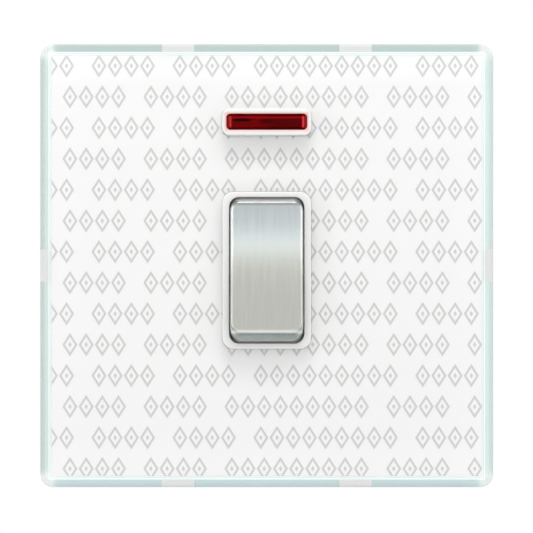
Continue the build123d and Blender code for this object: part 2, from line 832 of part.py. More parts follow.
with BuildPart() as earth_screw:
    with BuildSketch(Plane.XZ.offset(-earth_screw_tip)):
        with Locations((earth_offset, earth_height)):
            Circle(clamp_screw_radius)
    extrude(amount=earth_screw_tip - earth_screw_seat)
    with BuildSketch(Plane.XZ.offset(-earth_screw_seat)):
        with Locations((earth_offset, earth_height)):
            Circle(clamp_head_radius)
    extrude(amount=-clamp_head_height)
    fillet(earth_screw.faces().sort_by(Axis.Y)[-1].edges(), clamp_head_edge)
    with BuildSketch(Plane.XZ.offset(-earth_screw_seat - clamp_head_height)):
        with Locations((earth_offset, earth_height)):
            Rectangle(2 * clamp_head_radius, screw_slot_width)
    extrude(amount=screw_slot_depth, mode=Mode.SUBTRACT)
earth_screw.part.label = "earth_screw"
export_step(earth_screw.part, "parts/earth_screw.step")


def rocker_form(inset, skirt):
    """Rocker solid between its dished face and its skirt, with every outer surface drawn in by inset."""
    dish_radius = (face_half_length**2 + rocker_dish**2) / (2 * rocker_dish)
    with BuildPart() as form:
        with BuildSketch(rocker_side):
            Circle(rocker_end_radius - inset)
        extrude(amount=rocker_half_width - inset, both=True)
        fillet(form.edges().filter_by(GeomType.CIRCLE), rocker_corner_radius - inset)
        with BuildSketch(rocker_side):
            with Locations((skirt + rocker_end_radius, 0)):
                Rectangle(2 * rocker_end_radius, 2 * rocker_end_radius)
            with Locations((rocker_dish - rocker_rise - dish_radius, 0)):
                Circle(dish_radius + inset)
        extrude(amount=rocker_half_width, both=True, mode=Mode.SUBTRACT)
        fillet(
            form.faces().sort_by(Axis.Y)[0].edges(),
            max(rocker_edge_radius - inset, rocker_inner_edge_radius),
        )
    return form.part


# Satin steel cap pressed over the rocker
with BuildPart() as rocker_cap:
    add(rocker_form(0, cap_skirt))
    add(rocker_form(cap_thickness, 0), mode=Mode.SUBTRACT)
rocker_cap.part.label = "rocker_cap"
export_step(rocker_cap.part, "parts/rocker_cap.step")


# Moulded carrier under the cap: skirt, pivot pins and the two plunger towers
with BuildPart() as rocker_carrier:
    add(rocker_form(0, carrier_skirt))
    add(rocker_cap.part, mode=Mode.SUBTRACT)
    with BuildSketch(pivot_side):
        Circle(pin_ear_radius)
    extrude(amount=rocker_half_width - cap_thickness, both=True)
    with BuildSketch(pivot_side):
        Circle(pin_radius)
    extrude(amount=pin_reach, both=True)
    with BuildSketch(rocker_deck.offset(carrier_floor)):
        Rectangle(2 * cavity_half_width, 2 * cavity_half_length)
    extrude(amount=rocker_rise, mode=Mode.SUBTRACT)
    with BuildSketch(rocker_deck.offset(carrier_floor)):
        Rectangle(carrier_wall, 2 * cavity_half_length)
    extrude(amount=carrier_rib_depth)
    with BuildSketch(rocker_deck.offset(carrier_floor)):
        with GridLocations(2 * pole_offset, 1, 2, 1):
            Circle(tower_radius)
    extrude(amount=tower_end - carrier_floor)
    with BuildSketch(rocker_deck.offset(carrier_floor)):
        with GridLocations(2 * pole_offset, 1, 2, 1):
            Circle(plunger_radius + running_clearance)
    extrude(amount=tower_end - carrier_floor, mode=Mode.SUBTRACT)
rocker_carrier.part.label = "rocker_carrier"
export_step(rocker_carrier.part, "parts/rocker_carrier.step")


# Plungers, their springs, and the contact arms they push, one of each per pole
plunger_back = plunger_reach - plunger_length
for pole, side in (("line", -1), ("neutral", 1)):
    with BuildPart() as plunger:
        with BuildSketch(rocker_deck.offset(plunger_back)):
            with Locations((side * pole_offset, 0)):
                Circle(plunger_radius)
        extrude(amount=plunger_length)
        fillet(plunger.edges().sort_by(Axis.Y)[-1], plunger_radius - running_clearance)
        with BuildSketch(rocker_deck.offset(plunger_back)):
            with Locations((side * pole_offset, 0)):
                Circle(plunger_stem_radius)
        extrude(amount=-plunger_stem_length)
    plunger.part.label = f"plunger_{pole}"
    export_step(plunger.part, f"parts/plunger_{pole}.step")

    spring_room = plunger_back - carrier_floor - 2 * spring_wire_radius
    spring_foot = rocker_deck.offset(carrier_floor + spring_wire_radius)
    with BuildPart() as plunger_spring:
        with BuildLine() as coil:
            Helix(
                pitch=spring_room / spring_turns,
                height=spring_room,
                radius=spring_coil_radius,
                center=spring_foot.from_local_coords(Vector(side * pole_offset, 0, 0)),
                direction=spring_foot.z_dir,
            )
        with BuildSketch(Plane(coil.line @ 0, z_dir=coil.line % 0)):
            RegularPolygon(spring_wire_radius, 6)
        sweep(path=coil.line, is_frenet=True)
    plunger_spring.part.label = f"plunger_spring_{pole}"
    export_step(plunger_spring.part, f"parts/plunger_spring_{pole}.step")

    with BuildPart() as contact_arm:
        with BuildSketch(arm_side.offset(side * pole_offset)):
            with Locations((-(arm_front + arm_back) / 2, 0)):
                Rectangle(arm_front - arm_back, 2 * arm_half_length)
            Circle(ridge_radius + running_clearance, mode=Mode.SUBTRACT)
        extrude(amount=arm_width / 2, both=True)
    contact_arm.part.label = f"contact_arm_{pole}"
    export_step(contact_arm.part, f"parts/contact_arm_{pole}.step")

    with BuildPart() as moving_tip:
        with BuildSketch(arm_deck.offset(-arm_back)):
            with Locations((side * pole_offset, -tip_distance)):
                Circle(tip_radius)
        extrude(amount=tip_rise)
        fillet(moving_tip.edges().sort_by(Axis.Y)[-1], tip_rise / 3)
    moving_tip.part.label = f"moving_tip_{pole}"
    export_step(moving_tip.part, f"parts/moving_tip_{pole}.step")
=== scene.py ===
"""Looks of the double pole switch, in metres, in the model's own frame."""

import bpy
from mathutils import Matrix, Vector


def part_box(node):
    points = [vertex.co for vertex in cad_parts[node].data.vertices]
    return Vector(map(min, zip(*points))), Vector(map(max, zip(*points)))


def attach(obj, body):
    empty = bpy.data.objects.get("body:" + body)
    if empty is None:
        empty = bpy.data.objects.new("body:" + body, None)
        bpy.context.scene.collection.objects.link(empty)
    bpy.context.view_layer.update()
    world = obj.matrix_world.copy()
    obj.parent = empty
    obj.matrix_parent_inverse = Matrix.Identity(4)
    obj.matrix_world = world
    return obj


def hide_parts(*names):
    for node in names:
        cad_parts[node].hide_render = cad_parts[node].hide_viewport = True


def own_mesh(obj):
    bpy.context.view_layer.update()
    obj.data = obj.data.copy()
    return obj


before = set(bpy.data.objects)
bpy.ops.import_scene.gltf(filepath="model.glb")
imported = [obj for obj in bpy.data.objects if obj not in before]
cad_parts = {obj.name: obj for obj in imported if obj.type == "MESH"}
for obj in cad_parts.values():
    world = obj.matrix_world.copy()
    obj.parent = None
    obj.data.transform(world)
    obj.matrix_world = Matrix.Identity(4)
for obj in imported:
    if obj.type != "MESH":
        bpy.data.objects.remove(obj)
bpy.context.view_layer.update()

import math
import bpy
from mathutils import Matrix, Vector


# Camera: square to the plate, from far enough away that its rim hardly shows.
# The plate's front fills 85% of the picture's width and sits a hair above its middle.
PICTURE_PIXELS = 533
PIXELS_PER_MM = 5.04
VIEW_X, VIEW_Z = -0.00005, -0.00015
plate_low, plate_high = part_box("front_plate")
view = bpy.data.cameras.new("product_camera")
view.lens = 120
view.sensor_width = 36
camera = bpy.data.objects.new("product_camera", view)
bpy.context.scene.collection.objects.link(camera)
picture_width = PICTURE_PIXELS / PIXELS_PER_MM / 1000
camera_distance = picture_width * view.lens / view.sensor_width
camera.location = (VIEW_X, plate_low[1] - camera_distance, VIEW_Z)
camera.rotation_euler = (math.radians(90), 0, 0)
bpy.context.scene.camera = camera
bpy.context.scene.view_settings.view_transform = "Standard"


# Studio: a white surround, a soft lamp above, a long low one straight ahead and a fill at each
# side, all aimed at the switch. The lamps stay at a level at which white paper renders just
# under white.
def soft_lamp(name, place, size, power):
    """Adds a soft rectangular lamp that faces the switch, with its upper edge level."""
    lamp = bpy.data.lights.new(name, "AREA")
    lamp.shape = "RECTANGLE"
    lamp.size, lamp.size_y = size
    lamp.energy = power
    holder = bpy.data.objects.new(name, lamp)
    holder.location = place
    x, y, z = place
    yaw = math.atan2(x, -y)
    pitch = math.atan2(-z, math.hypot(x, y))
    holder.rotation_euler = (math.pi / 2 + pitch, 0, yaw)
    bpy.context.scene.collection.objects.link(holder)


soft_lamp("key_lamp", (0.02, -0.42, 0.62), (0.5, 0.35), 2.15)
soft_lamp("front_lamp", (0, -0.62, 0.082), (0.5, 0.03), 0.075)
soft_lamp("left_fill", (-0.6, -0.45, 0.1), (0.12, 0.5), 0.5)
soft_lamp("right_fill", (0.6, -0.45, 0.1), (0.12, 0.5), 0.25)

# The surround is plain white where it is seen, directly, in metal or through the clear plate, and
# a little dimmer as a light.
SEEN_LEVEL, LIGHT_LEVEL = 1.0, 0.765
surround = bpy.data.worlds.new("white_surround")
surround.use_nodes = True
bpy.context.scene.world = surround
tree = surround.node_tree
tree.nodes.clear()
rays = tree.nodes.new("ShaderNodeLightPath")
seen = rays.outputs["Is Camera Ray"]
for kind in ("Is Transmission Ray", "Is Glossy Ray"):
    also = tree.nodes.new("ShaderNodeMath")
    also.operation = "MAXIMUM"
    tree.links.new(seen, also.inputs[0])
    tree.links.new(rays.outputs[kind], also.inputs[1])
    seen = also.outputs[0]
either = tree.nodes.new("ShaderNodeMixShader")
tree.links.new(seen, either.inputs[0])
for socket, level in ((either.inputs[1], LIGHT_LEVEL), (either.inputs[2], SEEN_LEVEL)):
    white_side = tree.nodes.new("ShaderNodeBackground")
    white_side.inputs["Color"].default_value = (1, 1, 1, 1)
    white_side.inputs["Strength"].default_value = level
    tree.links.new(white_side.outputs[0], socket)
surround_out = tree.nodes.new("ShaderNodeOutputWorld")
tree.links.new(either.outputs[0], surround_out.inputs["Surface"])

# Floor: a plain pale table top below the switch, short enough to stay out of the front view.
FLOOR_HEIGHT = -0.066
FLOOR_HALF_WIDTH, FLOOR_FRONT, FLOOR_BACK = 0.3, -0.3, 0.06
floor_mesh = bpy.data.meshes.new("table_top")
floor_mesh.from_pydata(
    [
        (-FLOOR_HALF_WIDTH, FLOOR_FRONT, FLOOR_HEIGHT),
        (FLOOR_HALF_WIDTH, FLOOR_FRONT, FLOOR_HEIGHT),
        (FLOOR_HALF_WIDTH, FLOOR_BACK, FLOOR_HEIGHT),
        (-FLOOR_HALF_WIDTH, FLOOR_BACK, FLOOR_HEIGHT),
    ],
    [],
    [(0, 1, 2, 3)],
)
floor = bpy.data.objects.new("table_top", floor_mesh)
bpy.context.scene.collection.objects.link(floor)


class Finish:
    """One material's node tree, with the few ways this switch's finishes are put together."""

    def __init__(self, name):
        self.material = bpy.data.materials.new(name)
        self.material.use_nodes = True
        self.tree = self.material.node_tree
        self.tree.nodes.clear()
        self.out = self.add("ShaderNodeOutputMaterial")
        self.skin = self.add("ShaderNodeBsdfPrincipled")
        self.link(self.skin.outputs[0], self.out.inputs["Surface"])
        self.where = self.add("ShaderNodeTexCoord").outputs["Object"]

    def add(self, kind, **settings):
        node = self.tree.nodes.new(kind)
        for key, value in settings.items():
            setattr(node, key, value)
        return node

    def link(self, source, target):
        self.tree.links.new(source, target)

    def feed(self, target, value):
        """Links an output to this input, or sets the input to a plain number or colour."""
        if isinstance(value, bpy.types.NodeSocket):
            self.link(value, target)
        elif target.type == "RGBA":
            target.default_value = (*value, 1)
        else:
            target.default_value = value

    def set(self, **sockets):
        for key, value in sockets.items():
            self.feed(self.skin.inputs[key.replace("_", " ")], value)

    def math(self, operation, *values):
        node = self.add("ShaderNodeMath", operation=operation)
        for socket, value in zip(node.inputs, values):
            self.feed(socket, value)
        return node.outputs[0]

    def most(self, first, *others):
        for other in others:
            first = self.math("MAXIMUM", first, other)
        return first

    def times(self, first, *others):
        for other in others:
            first = self.math("MULTIPLY", first, other)
        return first

    def ramp(self, value, low, high, to_low=0.0, to_high=1.0):
        node = self.add("ShaderNodeMapRange", interpolation_type="SMOOTHSTEP")
        keys = ("Value", "From Min", "From Max", "To Min", "To Max")
        for key, item in zip(keys, (value, low, high, to_low, to_high)):
            self.feed(node.inputs[key], item)
        return node.outputs["Result"]

    def near(self, value, centre, fade, full):
        """One within full of the centre, falling to zero at fade from it."""
        return self.ramp(self.math("ABSOLUTE", self.math("SUBTRACT", value, centre)), fade, full)

    def axes(self):
        node = self.add("ShaderNodeSeparateXYZ")
        self.link(self.where, node.inputs[0])
        return node.outputs

    def blend(self, share, first, second):
        node = self.add("ShaderNodeMix", data_type="RGBA")
        self.feed(node.inputs["Factor"], share)
        self.feed(node.inputs[6], first)
        self.feed(node.inputs[7], second)
        return node.outputs[2]

    def grain(self, scale, detail, stretch=(1, 1, 1)):
        place = self.add("ShaderNodeMapping")
        place.inputs["Scale"].default_value = stretch
        self.link(self.where, place.inputs["Vector"])
        node = self.add("ShaderNodeTexNoise")
        node.inputs["Scale"].default_value = scale
        node.inputs["Detail"].default_value = detail
        self.link(place.outputs[0], node.inputs["Vector"])
        return node.outputs["Fac"]

    def bump(self, height, depth, strength):
        node = self.add("ShaderNodeBump")
        node.inputs["Strength"].default_value = strength
        node.inputs["Distance"].default_value = depth
        self.link(height, node.inputs["Height"])
        self.link(node.outputs[0], self.skin.inputs["Normal"])


table = Finish("pale_table")
table.set(Base_Color=(0.86, 0.86, 0.86), Roughness=0.7)
table.bump(table.grain(900, 2), 0.0001, 0.2)
floor_mesh.materials.append(table.material)


# Front plate: one clear acrylic moulding, polished, clipped over the steel frame.
# Its face lets the paper show; its rim gathers a pale green, the acrylic's own edge tint, under
# painted light and shade: darker along the face's inner edge above, bluer below and lighter on the
# right than on the left. A painted highlight runs as a pale line just inside the rim and whitens
# the corners, and the rim turns milky in front of the six clips.
PLATE_HALF_X, PLATE_HALF_Z = plate_high[0], plate_high[2]
FACE_MARGIN = 0.00195
RIM_SIDE_WIDTH, RIM_END_WIDTH = 0.00168, 0.00155
CORNER_START, CORNER_FULL = 0.0034, 0.0021
CLIP_PLACE, CLIP_HALF = 0.0176, 0.0032
SOFT = 0.00008
MIDDLE_BLEND = 0.001
clear = Finish("clear_acrylic")
x, _, z = clear.axes()
across = clear.math("ABSOLUTE", x)
up = clear.math("ABSOLUTE", z)


def dress(finish, *names):
    """Gives a finish to CAD nodes, in place of the plain colour they were packed with."""
    for name in names:
        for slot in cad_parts[name].material_slots:
            slot.material = finish.material


def past(value, place):
    """Zero nearer the plate's middle than this place and one beyond it."""
    return clear.ramp(value, place - SOFT, place + SOFT)


rim_inner_x, rim_inner_z = PLATE_HALF_X - RIM_SIDE_WIDTH, PLATE_HALF_Z - RIM_END_WIDTH
border = clear.most(past(across, PLATE_HALF_X - FACE_MARGIN), past(up, PLATE_HALF_Z - FACE_MARGIN))
rim = clear.most(past(across, rim_inner_x), past(up, rim_inner_z))
corner_highlight = clear.times(
    clear.ramp(across, PLATE_HALF_X - CORNER_START, PLATE_HALF_X - CORNER_FULL),
    clear.ramp(up, PLATE_HALF_Z - CORNER_START, PLATE_HALF_Z - CORNER_FULL),
)
end_clip = clear.times(
    clear.near(across, CLIP_PLACE, CLIP_HALF + SOFT, CLIP_HALF - SOFT),
    clear.ramp(up, rim_inner_z - SOFT, rim_inner_z),
)
side_clip = clear.times(
    clear.near(z, 0.0, CLIP_HALF + SOFT, CLIP_HALF - SOFT),
    clear.ramp(across, rim_inner_x - SOFT, rim_inner_x),
)
clip = clear.most(end_clip, side_clip)

# The rim's green, the acrylic's own edge tint, runs from its inner edge out to the plate's, and is
# mitred at the corners; painted light and shade make it differ between the sides and across the
# band.
outward_x = clear.ramp(across, rim_inner_x, PLATE_HALF_X)
outward_z = clear.ramp(up, rim_inner_z, PLATE_HALF_Z)
left_green = clear.blend(outward_x, (0.80, 0.90, 0.89), (0.70, 0.775, 0.75))
right_green = clear.blend(outward_x, (0.83, 0.93, 0.91), (0.765, 0.86, 0.845))
side_green = clear.blend(clear.ramp(x, -MIDDLE_BLEND, MIDDLE_BLEND), left_green, right_green)
top_green = clear.blend(outward_z, (0.585, 0.70, 0.675), (0.68, 0.77, 0.75))
bottom_green = clear.blend(outward_z, (0.70, 0.82, 0.785), (0.695, 0.81, 0.86))
end_green = clear.blend(clear.ramp(z, -MIDDLE_BLEND, MIDDLE_BLEND), bottom_green, top_green)
mitre = PLATE_HALF_Z - PLATE_HALF_X
on_end = clear.ramp(clear.math("SUBTRACT", up, across), mitre - SOFT, mitre + SOFT)
green = clear.blend(on_end, side_green, end_green)
# Painted highlight: a pale line between the face and the rim's green.
tint = clear.blend(rim, (0.86, 0.94, 0.935), green)
tint = clear.blend(clip, tint, (0.72, 0.74, 0.735))
# Painted highlight: the rim's corners turn nearly white.
tint = clear.blend(corner_highlight, tint, (0.93, 0.97, 0.96))
clear.set(Base_Color=tint, Roughness=0.1, IOR=1.49, Specular_IOR_Level=0.25)
clear.bump(clear.grain(2600, 2), 0.00001, 0.05)

# Light reaches the paper as through a bare window, so the rim throws no heavy shadow on it.
CLEAR, POLISH, MIRROR_IOR = (1.0, 1.0, 1.0), 0.02, 1.13
RIM_CLOUD, CLEAR_RIM_SHARE, LIT_SHARE = 0.9, 0.61, 0.1
passing = clear.add("ShaderNodeLightPath").outputs
lit_through = clear.most(passing["Is Shadow Ray"], passing["Is Diffuse Ray"])
through = clear.add("ShaderNodeBsdfTransparent")
seen_tint = clear.blend(border, CLEAR, tint)
clear.link(clear.blend(lit_through, seen_tint, CLEAR), through.inputs["Color"])
gloss = clear.add("ShaderNodeBsdfGlossy")
gloss.inputs["Roughness"].default_value = POLISH
mirror = clear.add("ShaderNodeFresnel")
mirror.inputs["IOR"].default_value = MIRROR_IOR
pane = clear.add("ShaderNodeMixShader")
clear.link(mirror.outputs[0], pane.inputs[0])
clear.link(through.outputs[0], pane.inputs[1])
clear.link(gloss.outputs[0], pane.inputs[2])
clear_rim = clear.math("SUBTRACT", rim, clip)
cloudy = clear.times(
    clear.most(border, clip),
    RIM_CLOUD,
    clear.ramp(clear_rim, 0.0, 1.0, 1.0, CLEAR_RIM_SHARE),
    clear.ramp(lit_through, 0.0, 1.0, 1.0, LIT_SHARE),
)
body = clear.add("ShaderNodeMixShader")
clear.link(cloudy, body.inputs[0])
clear.link(pane.outputs[0], body.inputs[1])
clear.link(clear.skin.outputs[0], body.inputs[2])
clear.link(body.outputs[0], clear.out.inputs["Surface"])
dress(clear, "front_plate")


# Paper insert: thin white card cut to the plate's pocket and held flat behind its face, printed
# in pale grey. The print is a plain trellis of outlined lozenges, with a dot in each and a gap
# after every few, and every second row set over by a little less than two lozenges.
ROW_PITCH, ROW_START = 0.0062, -0.0003
LOZENGE_PITCH, LOZENGE_START, SHIFT = 0.00324, -0.1, 0.0058
HALF_WIDE, HALF_TALL = 0.00135, 0.0021
HALF_STROKE, STROKE_EDGE, OUTLINE = 0.00022, 0.00005, 0.93
DOT, DOT_EDGE = 0.24, 0.30
REPEAT, GAPS = 25, (4, 14, 19, 24)
paper = Finish("printed_paper")
x, _, z = paper.axes()


def from_middle(place, pitch):
    """Distance in metres to the middle of the pitch that a place, counted in pitches, falls in."""
    offset = paper.math("SUBTRACT", paper.math("FRACT", place), 0.5)
    return paper.math("ABSOLUTE", paper.times(offset, pitch))


row_place = paper.math("DIVIDE", paper.math("SUBTRACT", z, ROW_START), ROW_PITCH)
odd_row = paper.math("FLOORED_MODULO", paper.math("FLOOR", row_place), 2.0)
along = paper.math("ADD", paper.math("SUBTRACT", x, LOZENGE_START), paper.times(odd_row, SHIFT))
along = paper.math("DIVIDE", along, LOZENGE_PITCH)
lozenge = paper.math(
    "ADD",
    paper.math("DIVIDE", from_middle(along, LOZENGE_PITCH), HALF_WIDE),
    paper.math("DIVIDE", from_middle(row_place, ROW_PITCH), HALF_TALL),
)
reach = HALF_WIDE * HALF_TALL / math.hypot(HALF_WIDE, HALF_TALL)
from_line = paper.times(paper.math("ABSOLUTE", paper.math("SUBTRACT", lozenge, OUTLINE)), reach)
line = paper.ramp(from_line, HALF_STROKE + STROKE_EDGE, HALF_STROKE - STROKE_EDGE)
ink = paper.most(line, paper.ramp(lozenge, DOT_EDGE, DOT))
step = paper.math("FLOORED_MODULO", paper.math("FLOOR", along), float(REPEAT))
for gap in GAPS:
    here = paper.math("COMPARE", step, float(gap), 0.5)
    ink = paper.times(ink, paper.math("SUBTRACT", 1.0, here))
fibre = paper.grain(1800, 4)
white = paper.blend(fibre, (0.93, 0.93, 0.925), (0.96, 0.96, 0.955))
grey = paper.blend(fibre, (0.63, 0.635, 0.63), (0.68, 0.685, 0.68))
paper.set(Base_Color=paper.blend(ink, white, grey), Roughness=0.75)
paper.bump(fibre, 0.00002, 0.3)
dress(paper, "wallpaper_insert")


# Mounting frame: pressed from zinc-plated steel sheet, with its clips and cups formed in the same
# stroke, and screwed to the wall box. The plating has a faint spangle over fine rolling lines.
zinc = Finish("zinc_plated_sheet")
spangle = zinc.add("ShaderNodeTexVoronoi")
spangle.inputs["Scale"].default_value = 420
zinc.link(zinc.where, spangle.inputs["Vector"])
zinc.set(
    Base_Color=zinc.blend(spangle.outputs["Color"], (0.60, 0.62, 0.64), (0.72, 0.74, 0.76)),
    Metallic=1.0,
    Roughness=zinc.ramp(zinc.grain(260, 3), 0.3, 0.7, 0.32, 0.5),
)
zinc.bump(zinc.grain(3000, 2, (1, 1, 0.1)), 0.00002, 0.25)
dress(zinc, "mounting_frame")


# Gasket: a ring punched from closed-cell foam sheet, off-white, soft and matt.
# It lies round the back of the frame, which presses it against the wall.
foam = Finish("foam_gasket")
foam.set(Base_Color=(0.80, 0.80, 0.78), Roughness=0.95)
foam.bump(foam.grain(4200, 2), 0.0001, 0.8)
dress(foam, "wall_gasket")


# Front moulding and rocker carrier: glossy white urea, moulded in one shot each. The moulding's
# two collars show round the rocker and the lens.
# The lens throws a little of its red into the collar beside it, as a painted red glow.
LENS_HALF_X, LENS_HALF_Z = 0.00795, 0.00154
RED_GLOW_WIDTH = 0.0006
lens_low, lens_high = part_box("neon_lens")
lens_middle = (lens_low[2] + lens_high[2]) / 2
white_gloss = Finish("white_urea_gloss")
x, _, z = white_gloss.axes()
lens_rise = white_gloss.math("ABSOLUTE", white_gloss.math("SUBTRACT", z, lens_middle))
from_lens = white_gloss.most(
    white_gloss.math("SUBTRACT", white_gloss.math("ABSOLUTE", x), LENS_HALF_X),
    white_gloss.math("SUBTRACT", lens_rise, LENS_HALF_Z),
)
# Painted light: red from the lens, fading out within this width of it.
painted_red_glow = white_gloss.ramp(from_lens, RED_GLOW_WIDTH, 0.0)
white_gloss.set(
    Base_Color=white_gloss.blend(painted_red_glow, (0.785, 0.78, 0.77), (0.84, 0.50, 0.48)),
    Roughness=white_gloss.ramp(white_gloss.grain(500, 2), 0.3, 0.7, 0.16, 0.24),
    Specular_IOR_Level=0.3,
    Subsurface_Weight=0.85,
    Subsurface_Radius=(1.0, 0.95, 0.9),
    Subsurface_Scale=0.002,
)
white_gloss.bump(white_gloss.grain(2200, 2), 0.00001, 0.15)
dress(white_gloss, "front_housing", "rocker_carrier")


# Rear moulding, its two end plates and the lamp chamber's cover: the same white in a finely
# sparked mould finish. The end plates close the terminal pockets, and the cover's ears sit on two
# headed studs of the front moulding.
white_matt = Finish("white_spark_finish")
white_matt.set(
    Base_Color=white_matt.blend(white_matt.grain(160, 3), (0.80, 0.80, 0.78), (0.86, 0.86, 0.84)),
    Roughness=0.5,
)
white_matt.bump(white_matt.grain(5200, 2), 0.00004, 0.45)
dress(white_matt, "rear_housing", "supply_end_plate", "load_end_plate", "neon_cover")


# Neon lens: deep red polycarbonate, polished, bevelled in front and held from behind by its own
# flange. Painted highlights stand in for the light its hollow back gathers: bright bars at the
# ends, a streak along the top and pale end bevels. Painted shade makes two darker patches between
# them and a darker red on the long bevels.
STREAK_RISE, STREAK_HALF = 0.00088, 0.0004
STREAK_END, STREAK_FADE = 0.0072, 0.0068
BAR_PLACE, BAR_HALF, BAR_CORE = 0.00722, 0.00036, 0.00005
BAR_END, BAR_FADE = 0.00135, 0.0009
BEVEL_RISE, BEVEL_RISE_FULL = 0.00125, 0.0015
BEVEL_SIDE, BEVEL_SIDE_FULL = 0.00745, 0.00765
PATCH_EDGE, PATCH_CORE = 1.3, 0.35
red = Finish("red_lens")
x, _, z = red.axes()
across = red.math("ABSOLUTE", x)
rise = red.math("SUBTRACT", z, lens_middle)


def painted_shade_oval(along, height, half_along, half_height):
    """Soft-edged oval of painted shade on the lens, one inside it and zero outside."""
    side = red.math("POWER", red.math("DIVIDE", red.math("SUBTRACT", x, along), half_along), 2)
    level = red.math("POWER", red.math("DIVIDE", red.math("SUBTRACT", rise, height), half_height), 2)
    return red.ramp(red.math("ADD", side, level), PATCH_EDGE, PATCH_CORE)


deep = red.blend(red.ramp(x, -0.0015, 0.0015), (0.15, 0.0, 0.001), (0.06, 0.0, 0.0))
deep = red.blend(red.grain(500, 2, (1, 1, 2)), deep, (0.10, 0.0, 0.0))
# Painted highlight: a bright streak along the top.
streak = red.times(
    red.near(rise, STREAK_RISE, STREAK_HALF, 0.0),
    red.near(x, 0.0, STREAK_END, STREAK_FADE),
)
lit = red.blend(red.times(streak, 0.85), deep, (0.29, 0.001, 0.006))
# Painted shade: two darker patches.
left_painted_shade = painted_shade_oval(along=-0.0049, height=0.00035, half_along=0.0021, half_height=0.00035)
middle_painted_shade = painted_shade_oval(along=-0.0002, height=0.0001, half_along=0.0015, half_height=0.0005)
lit = red.blend(left_painted_shade, lit, (0.008, 0.0, 0.0))
lit = red.blend(red.times(middle_painted_shade, 0.7), lit, (0.03, 0.0, 0.0))
# Painted highlights: bright bars near the ends.
painted_bars = red.times(
    red.near(across, BAR_PLACE, BAR_HALF, BAR_CORE),
    red.near(rise, 0.0, BAR_END, BAR_FADE),
)
painted_bar_red = red.blend(red.ramp(x, -0.001, 0.001), (0.46, 0.035, 0.03), (0.72, 0.038, 0.05))
lit = red.blend(red.times(painted_bars, 0.9), lit, painted_bar_red)
# Painted shade on the long bevels.
long_bevel_shade = red.ramp(red.math("ABSOLUTE", rise), BEVEL_RISE, BEVEL_RISE_FULL)
lit = red.blend(red.times(long_bevel_shade, 0.75), lit, (0.12, 0.0, 0.002))
# Painted highlight on the end bevels.
end_bevel_highlight = red.ramp(across, BEVEL_SIDE, BEVEL_SIDE_FULL)
lit = red.blend(red.times(end_bevel_highlight, 0.85), lit, (0.42, 0.018, 0.022))
red.set(Base_Color=lit, Roughness=0.08, IOR=1.4, Specular_IOR_Level=0.02)
red.bump(red.grain(900, 2), 0.00001, 0.1)
dress(red, "neon_lens")


# Neon lamp: a small glass tube with two nickel rods, lying behind the lens in its own chamber.
# Tinned wires feed it through a lacquered resistor with dark bands.
tube_glass = Finish("lamp_glass")
tube_glass.set(Base_Color=(0.97, 0.97, 0.95), Roughness=0.02, IOR=1.5, Transmission_Weight=1.0)
dress(tube_glass, "neon_lamp")


def bright_metal(name, scale, dark, light, roughness):
    """Drawn or rolled metal whose tone varies a little along the piece."""
    metal = Finish(name)
    metal.set(
        Base_Color=metal.blend(metal.grain(scale, 2), dark, light), Metallic=1.0, Roughness=roughness
    )
    return metal


nickel = bright_metal("nickel_rods", 900, (0.50, 0.49, 0.46), (0.62, 0.61, 0.58), 0.4)
dress(nickel, "neon_electrodes")
tinned = bright_metal("tinned_wire", 1200, (0.62, 0.62, 0.64), (0.74, 0.74, 0.75), 0.28)
dress(tinned, "neon_leads")

BAND_PITCH, BAND_EDGE, BAND_HALF = 0.0008, 0.24, 0.20
resistor = Finish("resistor_lacquer")
height = resistor.math("SUBTRACT", resistor.axes()["Z"], lens_middle)
band_step = resistor.math("FRACT", resistor.math("DIVIDE", height, BAND_PITCH))
band = resistor.near(band_step, 0.5, BAND_EDGE, BAND_HALF)
resistor.set(Base_Color=resistor.blend(band, (0.66, 0.50, 0.30), (0.20, 0.05, 0.02)), Roughness=0.3)
resistor.bump(resistor.grain(1500, 2), 0.00002, 0.2)
dress(resistor, "neon_resistor")


# Terminal blocks: extruded brass bar, sawn to length, with fine saw lines on the cut faces.
# Four sit in pockets of the rear moulding, and the earth block is riveted behind the frame.
POLES = ("line", "neutral")
brass = Finish("sawn_brass")
saw = brass.grain(1500, 3, (1, 1, 0.06))
brass.set(
    Base_Color=brass.blend(saw, (0.62, 0.42, 0.16), (0.80, 0.60, 0.28)),
    Metallic=1.0,
    Roughness=brass.ramp(saw, 0.3, 0.7, 0.26, 0.42),
)
brass.bump(saw, 0.00003, 0.3)
dress(brass, "earth_terminal")
for pole in POLES:
    dress(brass, f"supply_terminal_{pole}", f"load_terminal_{pole}")


# Contact strips and arms: stamped from copper alloy strip, faintly browned, with silver contact
# faces. The strips sit in the terminals, and each arm rocks on its supply strip's ridge.
copper = Finish("stamped_copper")
cloud = copper.grain(180, 4)
copper.set(
    Base_Color=copper.blend(cloud, (0.62, 0.30, 0.17), (0.80, 0.46, 0.30)),
    Metallic=1.0,
    Roughness=copper.ramp(cloud, 0.3, 0.7, 0.26, 0.45),
)
copper.bump(copper.grain(2400, 2, (1, 1, 0.1)), 0.00002, 0.25)
silver = bright_metal("contact_silver", 1300, (0.78, 0.77, 0.74), (0.90, 0.89, 0.87), 0.3)
dress(silver, "fixed_contact_tips")
for pole in POLES:
    dress(copper, f"supply_strip_{pole}", f"load_strip_{pole}", f"contact_arm_{pole}")
    dress(silver, f"moving_tip_{pole}")


# Housing screws: zinc-plated steel, pan heads with a cross recess.
# Driven through the rear moulding's flange, they clamp it, the front moulding and the frame
# together.
plated = Finish("plated_screws")
turned = plated.grain(1600, 2)
plated.set(
    Base_Color=plated.blend(turned, (0.60, 0.61, 0.60), (0.76, 0.77, 0.77)),
    Metallic=1.0,
    Roughness=plated.ramp(turned, 0.3, 0.7, 0.24, 0.4),
)
plated.bump(turned, 0.00002, 0.3)
dress(plated, "housing_screws")


